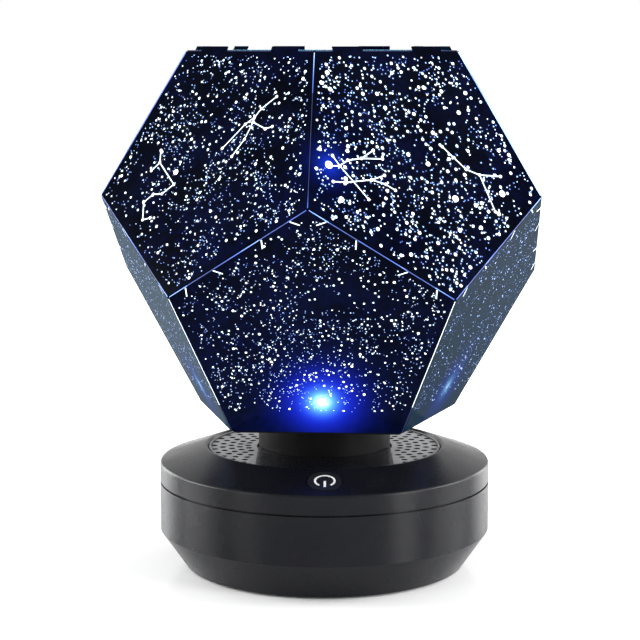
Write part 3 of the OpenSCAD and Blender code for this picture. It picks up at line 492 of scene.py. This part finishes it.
def halo(distance, colour, strength, reach, power):
    """One ring of a glow, fading with the distance from its middle."""
    share = film_math("POWER", film_math("DIVIDE", distance, reach), power)
    fade = film_math("EXPONENT", film_math("MULTIPLY", share, -1.0))
    tint = film.nodes.new("ShaderNodeVectorMath")
    tint.operation = "SCALE"
    tint.inputs[0].default_value = colour
    film.links.new(film_math("MULTIPLY", fade, strength), tint.inputs["Scale"])
    return tint.outputs[0]

def add_light(a, b):
    """The sum of two lights."""
    both = film.nodes.new("ShaderNodeVectorMath")
    both.operation = "ADD"
    film.links.new(a, both.inputs[0])
    film.links.new(b, both.inputs[1])
    return both.outputs[0]

# A white core, a ring of light blue, a ring of deep blue and a wide faint veil
white_core = halo(glow_away, (1.0, 1.0, 1.0), strength=1.2, reach=0.0021, power=2.0)
light_ring = halo(glow_away, (0.25, 1.0, 1.0), strength=1.5, reach=0.0042, power=1.85)
deep_ring = halo(glow_away, (0.012, 0.03, 1.0), strength=1.3, reach=0.0119, power=2.0)
wide_veil = halo(glow_away, (0.003, 0.012, 0.09), strength=0.25, reach=0.04, power=1.2)
full_glow = add_light(add_light(white_core, light_ring), deep_ring)
lamp_glow = film.nodes.new("ShaderNodeVectorMath")
lamp_glow.operation = "SCALE"
film.links.new(add_light(full_glow, wide_veil), lamp_glow.inputs[0])
film.links.new(glow_share, lamp_glow.inputs["Scale"])

# One star of the front upper panel on the right has a blue glow around it.
bright_star = side_face(0, True) @ Vector((0.039, 0.0005, 0))
to_star = film.nodes.new("ShaderNodeVectorMath")
to_star.operation = "DISTANCE"
film.links.new(film.place, to_star.inputs[0])
to_star.inputs[1].default_value = bright_star
star_glow = halo(to_star.outputs["Value"], (0.01, 0.05, 0.9), strength=0.9, reach=0.0042, power=1.3)

# Faint blue drifts in the print, as of the milky way. Their glow, the lamp's light through them, is
# painted into the film's light.
drift_wide = film_math("MULTIPLY", film.noise(55), 0.6)
drift_fine = film_math("MULTIPLY", film.noise(420, 2.0), 0.4)
drift_ramp = film.nodes.new("ShaderNodeValToRGB")
clear, cloudy = drift_ramp.color_ramp.elements
clear.position = 0.45
clear.color = (0.0001, 0.0001, 0.0012, 1)
cloudy.position = 0.75
cloudy.color = (0.0015, 0.003, 0.036, 1)
film.links.new(film_math("ADD", drift_wide, drift_fine), drift_ramp.inputs["Fac"])

film_light = add_light(add_light(lamp_glow.outputs[0], star_glow), drift_ramp.outputs["Color"])
film.links.new(film_light, film.shader.inputs["Emission Color"])
film.shader.inputs["Emission Strength"].default_value = 1.0
film.on("top_panel", *[f"{row}_panel_{k}" for row in ("upper", "lower") for k in range(1, 6)])

# ---------------------------------------------------------------- star print
# The stars are clear windows in the print, lit from inside. Thousands are tiny and lie in
# drifts, a few are large, and thin lines join some of them into star figures.

star_light = Finish("star_light", (0.5, 0.6, 0.8), 0.4)
tone = star_light.nodes.new("ShaderNodeAttribute")
tone.attribute_name = "tone"
star_ramp = star_light.nodes.new("ShaderNodeValToRGB")
tone_colours = star_ramp.color_ramp.elements
tone_colours[0].color = (0.0015, 0.004, 0.02, 1)
tone_colours[1].color = (1.0, 1.0, 1.0, 1)
tone_colours.new(0.3).color = (0.055, 0.125, 0.54, 1)
tone_colours.new(0.6).color = (0.3, 0.5, 1.0, 1)
tone_colours.new(0.85).color = (0.75, 0.87, 1.0, 1)
star_light.links.new(tone.outputs["Fac"], star_ramp.inputs["Fac"])
star_light.links.new(star_ramp.outputs["Color"], star_light.shader.inputs["Emission Color"])
star_light.links.new(star_ramp.outputs["Color"], star_light.shader.inputs["Base Color"])
star_light.shader.inputs["Emission Strength"].default_value = 1.25

def cut_pentagon(radius, low):
    """A five-sided outline, foot edge at -Y, cut off straight below y = low."""
    turns = [math.radians((90 + side_step * k) % 360) for k in range(5)]
    ring = [Vector((radius * math.cos(a), radius * math.sin(a))) for a in turns]
    out = []
    for a, b in zip(ring, ring[1:] + ring[:1]):
        if a.y >= low:
            out.append(a)
        if (a.y - low) * (b.y - low) < 0:
            out.append(a + (b - a) * (low - a.y) / (b.y - a.y))
    return out

lower_places = [side_face(k, False) for k in range(5)]
upper_places = [side_face(k, True) for k in range(5)]
top_place = (Matrix.Translation((0, 0, shade_middle + solid_in))
             @ Matrix.Rotation(shade_turn + math.pi, 4, "Z"))
panel_places = lower_places + upper_places + [top_place]

# The print keeps clear of the panels' edges, and of the lower panels' feet, where the cup is.
star_margin = 0.0026
cup_margin = 0.0105
star_lift = 0.00003
verts = []
faces = []
for number, place in enumerate(panel_places):
    lowest = cup_margin - face_in if number < 5 else -face_r
    outline = cut_pentagon(face_r - star_margin, lowest)
    first = len(verts)
    verts += [place @ Vector((p.x, p.y, star_lift)) for p in outline]
    faces.append(tuple(range(first, first + len(outline))))
star_field_mesh = bpy.data.meshes.new("star_field")
star_field_mesh.from_pydata(verts, [], faces)
# How crowded and how wide the stars are on each panel, in the order of panel_places
crowding = [1.1, 0.75, 1.0, 1.0, 0.75, 0.8, 1.05, 0.95, 1.05, 0.85, 1.0]
widening = [0.96, 0.78, 1.0, 1.0, 0.78, 1.55, 1.05, 1.2, 1.05, 1.15, 1.15]
star_field_mesh.attributes.new("crowding", "FLOAT", "FACE").data.foreach_set("value", crowding)
star_field_mesh.attributes.new("widening", "FLOAT", "FACE").data.foreach_set("value", widening)
star_field = bpy.data.objects.new("star_field", star_field_mesh)
bpy.context.scene.collection.objects.link(star_field)

def star_tree():
    """Scatters small discs over the panels: many tiny ones in drifts, and fewer large ones."""
    tree = bpy.data.node_groups.new("scatter_stars", "GeometryNodeTree")
    sockets = tree.interface
    sockets.new_socket("Geometry", in_out="INPUT", socket_type="NodeSocketGeometry")
    for name, value in (("Tiny stars per square metre", 560000.0),
                        ("Large stars per square metre", 70000.0),
                        ("Tiny star radius", 0.00015),
                        ("Large star radius", 0.00038)):
        sockets.new_socket(name, in_out="INPUT", socket_type="NodeSocketFloat").default_value = value
    sockets.new_socket("Ink", in_out="INPUT", socket_type="NodeSocketMaterial")
    sockets.new_socket("Geometry", in_out="OUTPUT", socket_type="NodeSocketGeometry")
    given = tree.nodes.new("NodeGroupInput")
    result = tree.nodes.new("NodeGroupOutput")
    connect = tree.links.new

    def add(kind, **values):
        """A node with these settings."""
        node = tree.nodes.new(kind)
        for key, value in values.items():
            setattr(node, key, value)
        return node

    def maths(operation, a, b):
        """One step of arithmetic on sockets and numbers."""
        node = add("ShaderNodeMath", operation=operation)
        for socket, value in zip(node.inputs, (a, b)):
            if isinstance(value, (int, float)):
                socket.default_value = value
            else:
                connect(value, socket)
        return node.outputs[0]

    def draw(seed):
        """A random number from 0 to 1 for each star."""
        node = add("FunctionNodeRandomValue", data_type="FLOAT")
        node.inputs["Seed"].default_value = seed
        return node.outputs[1]

    def by_panel(name):
        """A value that each panel sets for its own stars."""
        node = add("GeometryNodeInputNamedAttribute", data_type="FLOAT")
        node.inputs["Name"].default_value = name
        return node.outputs[0]

    def drifts(scale, low, high):
        """Clouds of stars: 1 inside them and 0 between them."""
        noise = add("ShaderNodeTexNoise")
        noise.inputs["Scale"].default_value = scale
        noise.inputs["Detail"].default_value = 3.0
        connect(add("GeometryNodeInputPosition").outputs[0], noise.inputs["Vector"])
        span = add("ShaderNodeMapRange")
        span.inputs["From Min"].default_value = low
        span.inputs["From Max"].default_value = high
        connect(noise.outputs["Fac"], span.inputs["Value"])
        return span.outputs["Result"]

    crowded = by_panel("crowding")
    widened = by_panel("widening")
    dimming = maths("MINIMUM", maths("MULTIPLY", crowded, widened), 1.0)

    def scatter(density, radius, keep, apart, sides, spread, power, seed, tone_low, tone_high):
        """One kind of star. `keep` is the share of them that stays, and `spread` is how much
        wider the widest are. The higher the power, the fewer come near to that width. Each
        draw has a seed of its own."""
        disc = add("GeometryNodeMeshCircle", fill_type="NGON")
        disc.inputs["Vertices"].default_value = sides
        disc.inputs["Radius"].default_value = 1.0
        spots = add("GeometryNodeDistributePointsOnFaces", distribute_method="POISSON")
        spots.inputs["Seed"].default_value = seed
        spots.inputs["Distance Min"].default_value = apart
        connect(given.outputs[density], spots.inputs["Density Max"])
        connect(given.outputs["Geometry"], spots.inputs["Mesh"])
        gone = add("FunctionNodeCompare", data_type="FLOAT", operation="GREATER_THAN")
        connect(draw(seed + 7), gone.inputs[0])
        connect(keep, gone.inputs[1])
        left = add("GeometryNodeDeleteGeometry", domain="POINT")
        connect(spots.outputs["Points"], left.inputs["Geometry"])
        connect(gone.outputs[0], left.inputs["Selection"])

        luck = draw(seed + 13)
        wider = maths("ADD", 1.0, maths("MULTIPLY", spread, maths("POWER", luck, power)))
        size = maths("MULTIPLY", maths("MULTIPLY", given.outputs[radius], wider), widened)
        brightness = maths("MAXIMUM", maths("POWER", luck, 2.0), maths("POWER", draw(seed + 29), 2.2))
        undimmed = maths("ADD", tone_low, maths("MULTIPLY", tone_high - tone_low, brightness))
        marked = add("GeometryNodeStoreNamedAttribute", data_type="FLOAT", domain="POINT")
        marked.inputs["Name"].default_value = "tone"
        connect(left.outputs[0], marked.inputs["Geometry"])
        connect(maths("MULTIPLY", undimmed, dimming), marked.inputs["Value"])

        placed = add("GeometryNodeInstanceOnPoints")
        connect(marked.outputs[0], placed.inputs["Points"])
        connect(disc.outputs[0], placed.inputs["Instance"])
        connect(spots.outputs["Rotation"], placed.inputs["Rotation"])
        connect(size, placed.inputs["Scale"])
        return placed.outputs[0]

    tiny_share = maths("MULTIPLY", crowded, drifts(scale=62, low=0.3, high=0.7))
    tiny = scatter("Tiny stars per square metre", "Tiny star radius", tiny_share, apart=0.0005,
                   sides=6, spread=0.9, power=2.5, seed=11, tone_low=0.25, tone_high=0.95)
    large_share = maths("MULTIPLY", crowded, 0.55)
    large = scatter("Large stars per square metre", "Large star radius", large_share, apart=0.0014,
                    sides=9, spread=0.5, power=4.0, seed=42, tone_low=0.72, tone_high=1.0)
    joined = add("GeometryNodeJoinGeometry")
    connect(tiny, joined.inputs[0])
    connect(large, joined.inputs[0])
    real = add("GeometryNodeRealizeInstances")
    connect(joined.outputs[0], real.inputs[0])
    inked = add("GeometryNodeSetMaterial")
    connect(real.outputs[0], inked.inputs["Geometry"])
    connect(given.outputs["Ink"], inked.inputs["Material"])
    connect(inked.outputs[0], result.inputs[0])
    return tree

def made_by_nodes(source, tree, name, **values):
    """Runs a node tree on an object and keeps the result as a plain mesh."""
    modifier = source.modifiers.new("nodes", "NODES")
    modifier.node_group = tree
    for item in tree.interface.items_tree:
        if item.item_type == "SOCKET" and item.in_out == "INPUT" and item.name in values:
            modifier[item.identifier] = values[item.name]
    bpy.context.view_layer.update()
    seen = source.evaluated_get(bpy.context.evaluated_depsgraph_get())
    mesh = bpy.data.meshes.new_from_object(seen)
    mesh.name = name
    source.modifiers.remove(modifier)
    made = bpy.data.objects.new(name, mesh)
    bpy.context.scene.collection.objects.link(made)
    bpy.data.objects.remove(source)
    return made

stars = made_by_nodes(star_field, star_tree(), "star_windows", Ink=star_light.material)
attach(stars, "shade")

# ---------------------------------------------------------------- star figures
# The plain stick figures of star charts: line windows in the print, with a round one at each
# joint. They are drawn in each panel's own plane, in millimetres from the panel's middle.

figure_swan = [[(-14, 17), (-3, 6), (6, -4), (16, -15)], [(-12, -7), (-3, 6), (10, 12)]]
figure_crown = [[(-14, 8), (-10, -1), (-1, -6), (8, -3), (14, 5)], [(-1, -6), (1, -15)]]
figure_hunter = [[(-9, 16), (-5, 3), (-8, -13)], [(9, 15), (5, 2), (10, -14)],
                 [(-5, 3), (0, 2.4), (5, 2)], [(-9, 16), (9, 15)]]
figure_dipper = [[(-19, 9), (-11, 7), (-4, 2), (3, 1), (5, -8), (16, -9), (17, 3), (3, 1)]]
figure_herdsman = [[(-21.5, -26), (-16, -21), (-14, -17.5), (-10.5, -14.5), (-3, -4.5)],
                   [(-14, -17.5), (-14, -15.5), (-12.5, -8.5), (-9, -1.5)],
                   [(-14, -15.5), (-21, -13), (-24, -14)]]
figure_dragon = [[(28, -2.5), (26.5, 2.5), (15.5, 11), (20, 15), (24.5, 15.5), (28, 19), (25.5, 26),
                  (22, 25)],
                 [(26.5, 2.5), (29.5, 6)]]
figure_crane = [[(39.5, 1), (34.5, 1), (26, 14.5)],
                [(36.5, -3), (34.5, 1), (30.5, -1), (24.5, -1.5), (15.5, -1)],
                [(24.5, -1.5), (18.5, -4.5)],
                [(39, 7), (33.5, 7.5), (22.5, 7), (16.5, 5.5)],
                [(22.5, 7), (17, 9), (13.5, 11.5)]]
figure_plough = [[(-12.5, -5), (-20.5, 4.5), (-26, 7), (-35.5, 8)], [(-26, 7), (-28.5, 22)]]

class LitPrint:
    """Flat windows in the print, each in its panel's plane and with its own brightness."""

    def __init__(self):
        self.verts = []
        self.faces = []
        self.tones = []

    def add(self, place, flat, cells, tone):
        """Moves a flat shape to its plane."""
        first = len(self.verts)
        self.verts += [place @ v for v in flat]
        self.faces += [tuple(first + i for i in cell) for cell in cells]
        self.tones += [tone] * len(flat)

    def strip(self, place, a, b, width, lift, tone):
        """A straight window from a to b."""
        flat = []
        cells = []
        ribbon(flat, cells, a, b, width, lift)
        self.add(place, flat, cells, tone)

    def dot(self, place, centre, radius, lift, tone, sides):
        """A round window."""
        turns = [2 * math.pi * i / sides for i in range(sides)]
        flat = [Vector((centre[0] + radius * math.cos(a), centre[1] + radius * math.sin(a), lift))
                for a in turns]
        self.add(place, flat, [range(sides)], tone)

    def make(self, name):
        """Makes the windows one piece, which rides on the shade."""
        printed_piece(name, self.verts, self.faces, "shade", star_light, self.tones)

figure_print = LitPrint()
line_width = 0.00042
line_lift = 0.00006
line_tone = 0.82
joint_r = 0.00062
joint_lift = 0.00008

def figure(place, lines, turn, shift):
    """Draws a figure's lines, and a round window at each of their points."""
    spun = Matrix.Rotation(math.radians(turn), 2)
    for line in lines:
        points = [(spun @ Vector(p) + Vector(shift)) / 1000 for p in line]
        for a, b in zip(points, points[1:]):
            figure_print.strip(place, a, b, line_width, line_lift, line_tone)
        for p in points:
            figure_print.dot(place, p, joint_r, joint_lift, 1.0, sides=12)

# Each figure's panel, in the order of panel_places, with its turn in degrees and its shift
for number, lines, turn, shift in (
        (9, figure_herdsman, 0, (0, 0)), (9, figure_dragon, 0, (0, 0)), (5, figure_crane, 0, (0, 0)),
        (5, figure_plough, 0, (0, 0)), (2, figure_hunter, 0, (0, 8)),
        (3, figure_dipper, 15, (0, 10)), (6, figure_dipper, 190, (0, -4)), (7, figure_swan, 200, (2, -4)),
        (8, figure_hunter, 20, (-4, -6)), (8, figure_crown, 70, (20, 14)), (10, figure_crown, 40, (2, 2))):
    figure(panel_places[number], lines, turn, shift)

# The largest single windows: panel, place and radius. The first has the blue glow around it.
big_star_lift = 0.0001
for number, (across_mm, up_mm), radius_mm in (
        (5, (39, 0.5), 1.5), (5, (-12, 16), 1.3), (5, (-34, 15), 1.3), (5, (37.5, 14), 1.1),
        (5, (-4, 1.7), 0.9), (5, (-10, -10.7), 0.8), (9, (16.5, 6), 1.1)):
    centre = (across_mm / 1000, up_mm / 1000)
    figure_print.dot(panel_places[number], centre, radius_mm / 1000, big_star_lift, 1.0, sides=20)
figure_print.make("star_figures")

# ---------------------------------------------------------------- lit edges
# Light leaks out along the cut edges of the film, brightest where no tab lies behind them,
# and through the slits beside each hooked tab. Its tones run from 0, dark, to 1, white.

edge_print = LitPrint()
edge_lift = 0.00005
seam_half = 0.0318
seam_parts = 30
seam_ends = [seam_half * (2 * i / seam_parts - 1) for i in range(seam_parts + 1)]
seam_width = 0.00026
seam_depth = 0.0003
tab_at = 0.01775
tab_half = 0.0065
cup_wall_h = 0.0115
cup_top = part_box("lower_panel_1")[0][2] + cup_wall_h
open_tone = 0.85
unlit_tone = 0.02
top_edge_tone = 0.04

def on_side(place, side):
    """A panel's plane, turned so that -Y points to one of its five edges."""
    return place @ Matrix.Rotation(math.radians(side_step * side), 4, "Z")

def lower_edge_tone(in_seam, middle):
    """A seam between two lower panels stands open, down to the cup, which hides the light."""
    return open_tone if (in_seam @ Vector((middle, 0, 0))).z > cup_top else unlit_tone

def tabbed_edge_tone(wave, middle):
    """A seam between an upper and a lower panel. Its tabs hold back most of the light."""
    over_tab = abs(abs(middle) - tab_at) < tab_half
    return 0.07 + 0.06 * wave if over_tab else 0.16 + 0.3 * wave

def upper_edge_tone(in_seam, middle):
    """A seam between two upper panels stands open at its top, and a little at its foot."""
    rising = 1 if (in_seam @ Vector((1, 0, 0))).z > in_seam.translation.z else -1
    height = rising * middle / seam_half
    if height > 0.45:
        return 0.1 + 0.55 * height * height
    return unlit_tone + 0.35 * max(0, -height) ** 12

slit_length = 0.0038
slit_width = 0.00042
slit_inset = 0.0004
slit_lean = math.radians(32)
slit_tone = 0.88

def light_slits(place):
    """Lights the slits on both sides of each hooked tab, which flare out from the edge."""
    for side in (2, 3):
        for tab in (-1, 1):
            for sign in (-1, 1):
                root = Vector((tab * tab_at + sign * tab_half, slit_inset - face_in))
                tip = root + slit_length * Vector((sign * math.sin(slit_lean), math.cos(slit_lean)))
                edge_print.strip(on_side(place, side), root, tip, slit_width, edge_lift, slit_tone)

# Each seam is many short strips, each with its own tone. They lie just below the edge that two
# panels share, tilted alike to both.
for number, place in enumerate(lower_places + upper_places):
    is_lower = number < 5
    for side in (1, 2, 3) if is_lower else (0, 1):
        in_seam = (on_side(place, side) @ Matrix.Translation((0, -face_in, 0))
                   @ Matrix.Rotation(fold / 2, 4, "X") @ Matrix.Translation((0, 0, -seam_depth)))
        for a, b in zip(seam_ends, seam_ends[1:]):
            middle = (a + b) / 2
            wave = 0.5 + 0.5 * math.sin(2.1 * number + 5.3 * side + 150 * middle)
            if is_lower:
                tone = lower_edge_tone(in_seam, middle) if side == 1 else tabbed_edge_tone(wave, middle)
            else:
                tone = top_edge_tone if side == 0 else upper_edge_tone(in_seam, middle)
            edge_print.strip(in_seam, (a, 0), (b, 0), seam_width, edge_lift, tone)
    if is_lower:
        light_slits(place)

# At the front, painted light runs along the outer edges of the two upper panels.
rim_light_width = 0.0005
rim_light_inset = rim_light_width - face_in
for place, side, brightness in ((upper_places[0], 4, 0.62), (upper_places[4], 1, 0.3)):
    number = panel_places.index(place)
    for a, b in zip(seam_ends, seam_ends[1:]):
        wave = 0.5 + 0.5 * math.sin(1.7 * number + 170 * a) * math.sin(60 * a)
        edge_print.strip(on_side(place, side), (a, rim_light_inset), (b, rim_light_inset), rim_light_width, edge_lift,
                         brightness * (0.55 + 0.45 * wave))
edge_print.make("lit_edges")
